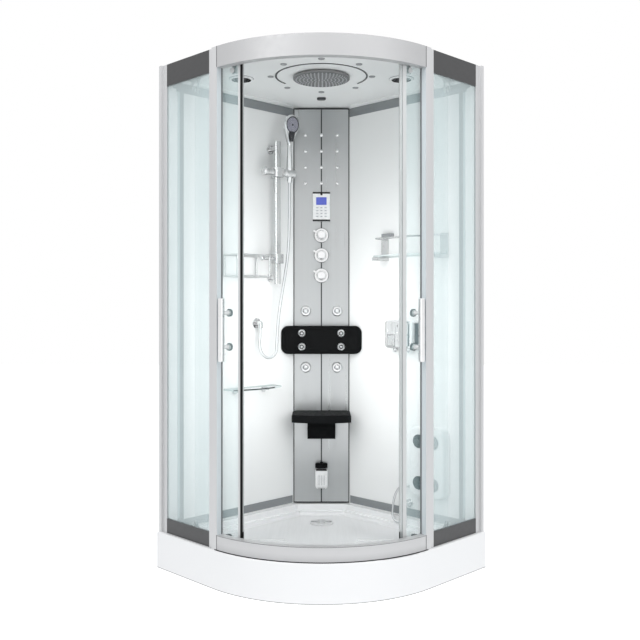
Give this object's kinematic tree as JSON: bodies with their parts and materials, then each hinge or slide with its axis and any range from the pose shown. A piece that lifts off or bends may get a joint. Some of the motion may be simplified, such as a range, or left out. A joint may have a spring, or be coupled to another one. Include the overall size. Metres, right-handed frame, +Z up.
{
  "type": "steam shower cabin",
  "caption": "Corner steam shower cabin with curved sliding glass doors, a jet column with control panel, folding seat, rain head, hand shower, shelves and a deep tray.",
  "frame": {"origin": "middle of the footprint's box at floor level", "axes": "+Z up, +Y towards the back corner, -Y towards the doorway, +X to the right for someone who faces the doorway"},
  "size_m": [1.4142, 1.1614, 2.155],
  "materials": {
    "acrylic": "smooth white acrylic",
    "wall_white": "smooth white acrylic",
    "frame_silver": "satin anodised",
    "infill_grey": "satin dark grey",
    "trim_grey": "brushed",
    "clear_glass": "clear tempered glass",
    "column_steel": "brushed, vertical grain",
    "chrome": "polished",
    "chrome_plastic": "chrome plated",
    "black_pad": "soft black",
    "white_plastic": "gloss white",
    "grey_rubber": "matt",
    "rain_grey": "satin grey",
    "fan_black": "matt",
    "fittings_nylon": "nylon and steel",
    "steel_frame": "galvanised",
    "foot_black": "matt",
    "waste_white": "matt",
    "drain_chrome": "polished",
    "brass": "cast",
    "boiler_steel": "brushed",
    "hose_silver": "silver sheath"
  },
  "bodies": {
    "cabin": {"back_pad": "black_pad", "body_jets": "chrome", "ceiling_lamps": "chrome_plastic", "column_panels": "column_steel", "control_panel": "white_plastic", "door_tracks": "frame_silver", "fan_housing": "white_plastic", "foot_hose": "hose_silver", "foot_massager": "white_plastic", "frame_posts": "frame_silver", "front_header": "frame_silver", "front_threshold": "frame_silver", "handset_hose": "hose_silver", "hose_outlets": "chrome", "knob_plates": "chrome", "left_wall_panel": "wall_white", "levelling_feet": "foot_black", "massage_discs": "grey_rubber", "mini_jets": "chrome", "mixer_valve": "brass", "rain_head": "rain_grey", "right_wall_panel": "wall_white", "roof_panel": "wall_white", "seat_bracket": "white_plastic", "shelf_fittings": "chrome", "shelf_glasses": "clear_glass", "shower_tray": "acrylic", "side_glass": "clear_glass", "side_infill_panels": "infill_grey", "slide_bar": "chrome", "soap_dispenser": "chrome", "speaker_unit": "white_plastic", "steam_generator": "boiler_steel", "steam_outlet": "white_plastic", "tray_frame": "steel_frame", "wall_trims": "trim_grey", "waste_trap": "waste_white"},
    "left_door": {"left_door_glass": "clear_glass", "left_door_handle": "white_plastic", "left_door_fittings": "fittings_nylon"},
    "right_door": {"right_door_glass": "clear_glass", "right_door_handle": "white_plastic", "right_door_fittings": "fittings_nylon"},
    "slider": {"slider": "chrome_plastic"},
    "handset": {"handset": "chrome_plastic"},
    "slider_knob": {"slider_knob": "chrome_plastic"},
    "soap_basket": {"soap_basket": "chrome"},
    "seat": {"seat": "black_pad"},
    "fan_rotor": {"fan_rotor": "fan_black"},
    "steam_cap": {"steam_cap": "black_pad"},
    "drain_cover": {"drain_cover": "drain_chrome"},
    "left_lead_wheel": {"left_lead_wheel": "fittings_nylon"},
    "left_trail_wheel": {"left_trail_wheel": "fittings_nylon"},
    "right_lead_wheel": {"right_lead_wheel": "fittings_nylon"},
    "right_trail_wheel": {"right_trail_wheel": "fittings_nylon"},
    "flow_knob": {"flow_knob": "chrome_plastic"},
    "temperature_knob": {"temperature_knob": "chrome_plastic"},
    "diverter_knob": {"diverter_knob": "chrome_plastic"},
    "left_soap_lever": {"left_soap_lever": "chrome"},
    "right_soap_lever": {"right_soap_lever": "chrome"}
  },
  "joints": [
    {"name": "left_door_run", "type": "hinge", "parent": "cabin", "child": "left_door", "pos_m": [0, 0.02923, 1], "axis": [0, 0, 1], "range_deg": [0, 33.1]},
    {"name": "right_door_run", "type": "hinge", "parent": "cabin", "child": "right_door", "pos_m": [0, 0.02923, 1], "axis": [0, 0, 1], "range_deg": [-33.1, 0]},
    {"name": "left_lead_wheel_roll", "type": "hinge", "parent": "left_door", "child": "left_lead_wheel", "pos_m": [-0.34937, -0.40842, 2.1123], "axis": [-0.6239, -0.7815, 0], "range_deg": [-1545.7, 0]},
    {"name": "left_trail_wheel_roll", "type": "hinge", "parent": "left_door", "child": "left_trail_wheel", "pos_m": [-0.53963, -0.12043, 2.1123], "axis": [-0.9636, -0.2672, 0], "range_deg": [-1545.7, 0]},
    {"name": "right_lead_wheel_roll", "type": "hinge", "parent": "right_door", "child": "right_lead_wheel", "pos_m": [0.34937, -0.40842, 2.1123], "axis": [0.6239, -0.7815, 0], "range_deg": [0, 1545.7]},
    {"name": "right_trail_wheel_roll", "type": "hinge", "parent": "right_door", "child": "right_trail_wheel", "pos_m": [0.53963, -0.12043, 2.1123], "axis": [0.9636, -0.2672, 0], "range_deg": [0, 1545.7]},
    {"name": "flow_knob_turn", "type": "hinge", "parent": "cabin", "child": "flow_knob", "pos_m": [0, 0.37077, 1.47], "axis": [0, -1, 0], "range_deg": [0, 90]},
    {"name": "temperature_knob_turn", "type": "hinge", "parent": "cabin", "child": "temperature_knob", "pos_m": [0, 0.37077, 1.372], "axis": [0, -1, 0], "range_deg": [-45, 45]},
    {"name": "diverter_knob_turn", "type": "hinge", "parent": "cabin", "child": "diverter_knob", "pos_m": [0, 0.37077, 1.273], "axis": [0, -1, 0], "range_deg": [-90, 90]},
    {"name": "seat_fold", "type": "hinge", "parent": "cabin", "child": "seat", "pos_m": [0, 0.34977, 0.59], "axis": [-1, 0, 0], "range_deg": [0, 85]},
    {"name": "slider_slide", "type": "slide", "parent": "cabin", "child": "slider", "axis": [0, 0, 1], "range_m": [-0.2, 0.06], "deforming": ["handset_hose"]},
    {"name": "handset_tilt", "type": "hinge", "parent": "slider", "child": "handset", "pos_m": [-0.15274, 0.26682, 1.755], "axis": [-0.7071, -0.7071, 0], "range_deg": [-12, 12]},
    {"name": "slider_knob_turn", "type": "hinge", "parent": "slider", "child": "slider_knob", "pos_m": [-0.23334, 0.206, 1.755], "axis": [-0.7071, -0.7071, 0], "range_deg": [0, 180]},
    {"name": "basket_slide", "type": "slide", "parent": "cabin", "child": "soap_basket", "axis": [0, 0, 1], "range_m": [-0.045, 0.12]},
    {"name": "fan_spin", "type": "hinge", "parent": "cabin", "child": "fan_rotor", "pos_m": [-0.343, -0.13923, 2.113], "axis": [0, 0, 1], "continuous": true},
    {"name": "left_soap_lever_press", "type": "slide", "parent": "cabin", "child": "left_soap_lever", "axis": [0.7071, 0.7071, 0], "range_m": [0, 0.008], "stiffness_N_per_m": 200, "springref_m": -0.005},
    {"name": "right_soap_lever_press", "type": "slide", "parent": "cabin", "child": "right_soap_lever", "axis": [0.7071, 0.7071, 0], "range_m": [0, 0.008], "stiffness_N_per_m": 200, "springref_m": -0.005},
    {"name": "steam_cap_lift", "type": "slide", "parent": "cabin", "child": "steam_cap", "axis": [0, 0, 1], "range_m": [0, 0.03]},
    {"name": "drain_cover_lift", "type": "slide", "parent": "cabin", "child": "drain_cover", "axis": [0, 0, 1], "range_m": [0, 0.03]}
  ],
  "couplings": [
    {"joint": "left_lead_wheel_roll", "follows": "left_door_run", "ratio": -46.667},
    {"joint": "left_trail_wheel_roll", "follows": "left_door_run", "ratio": -46.667},
    {"joint": "right_lead_wheel_roll", "follows": "right_door_run", "ratio": -46.667},
    {"joint": "right_trail_wheel_roll", "follows": "right_door_run", "ratio": -46.667}
  ]
}
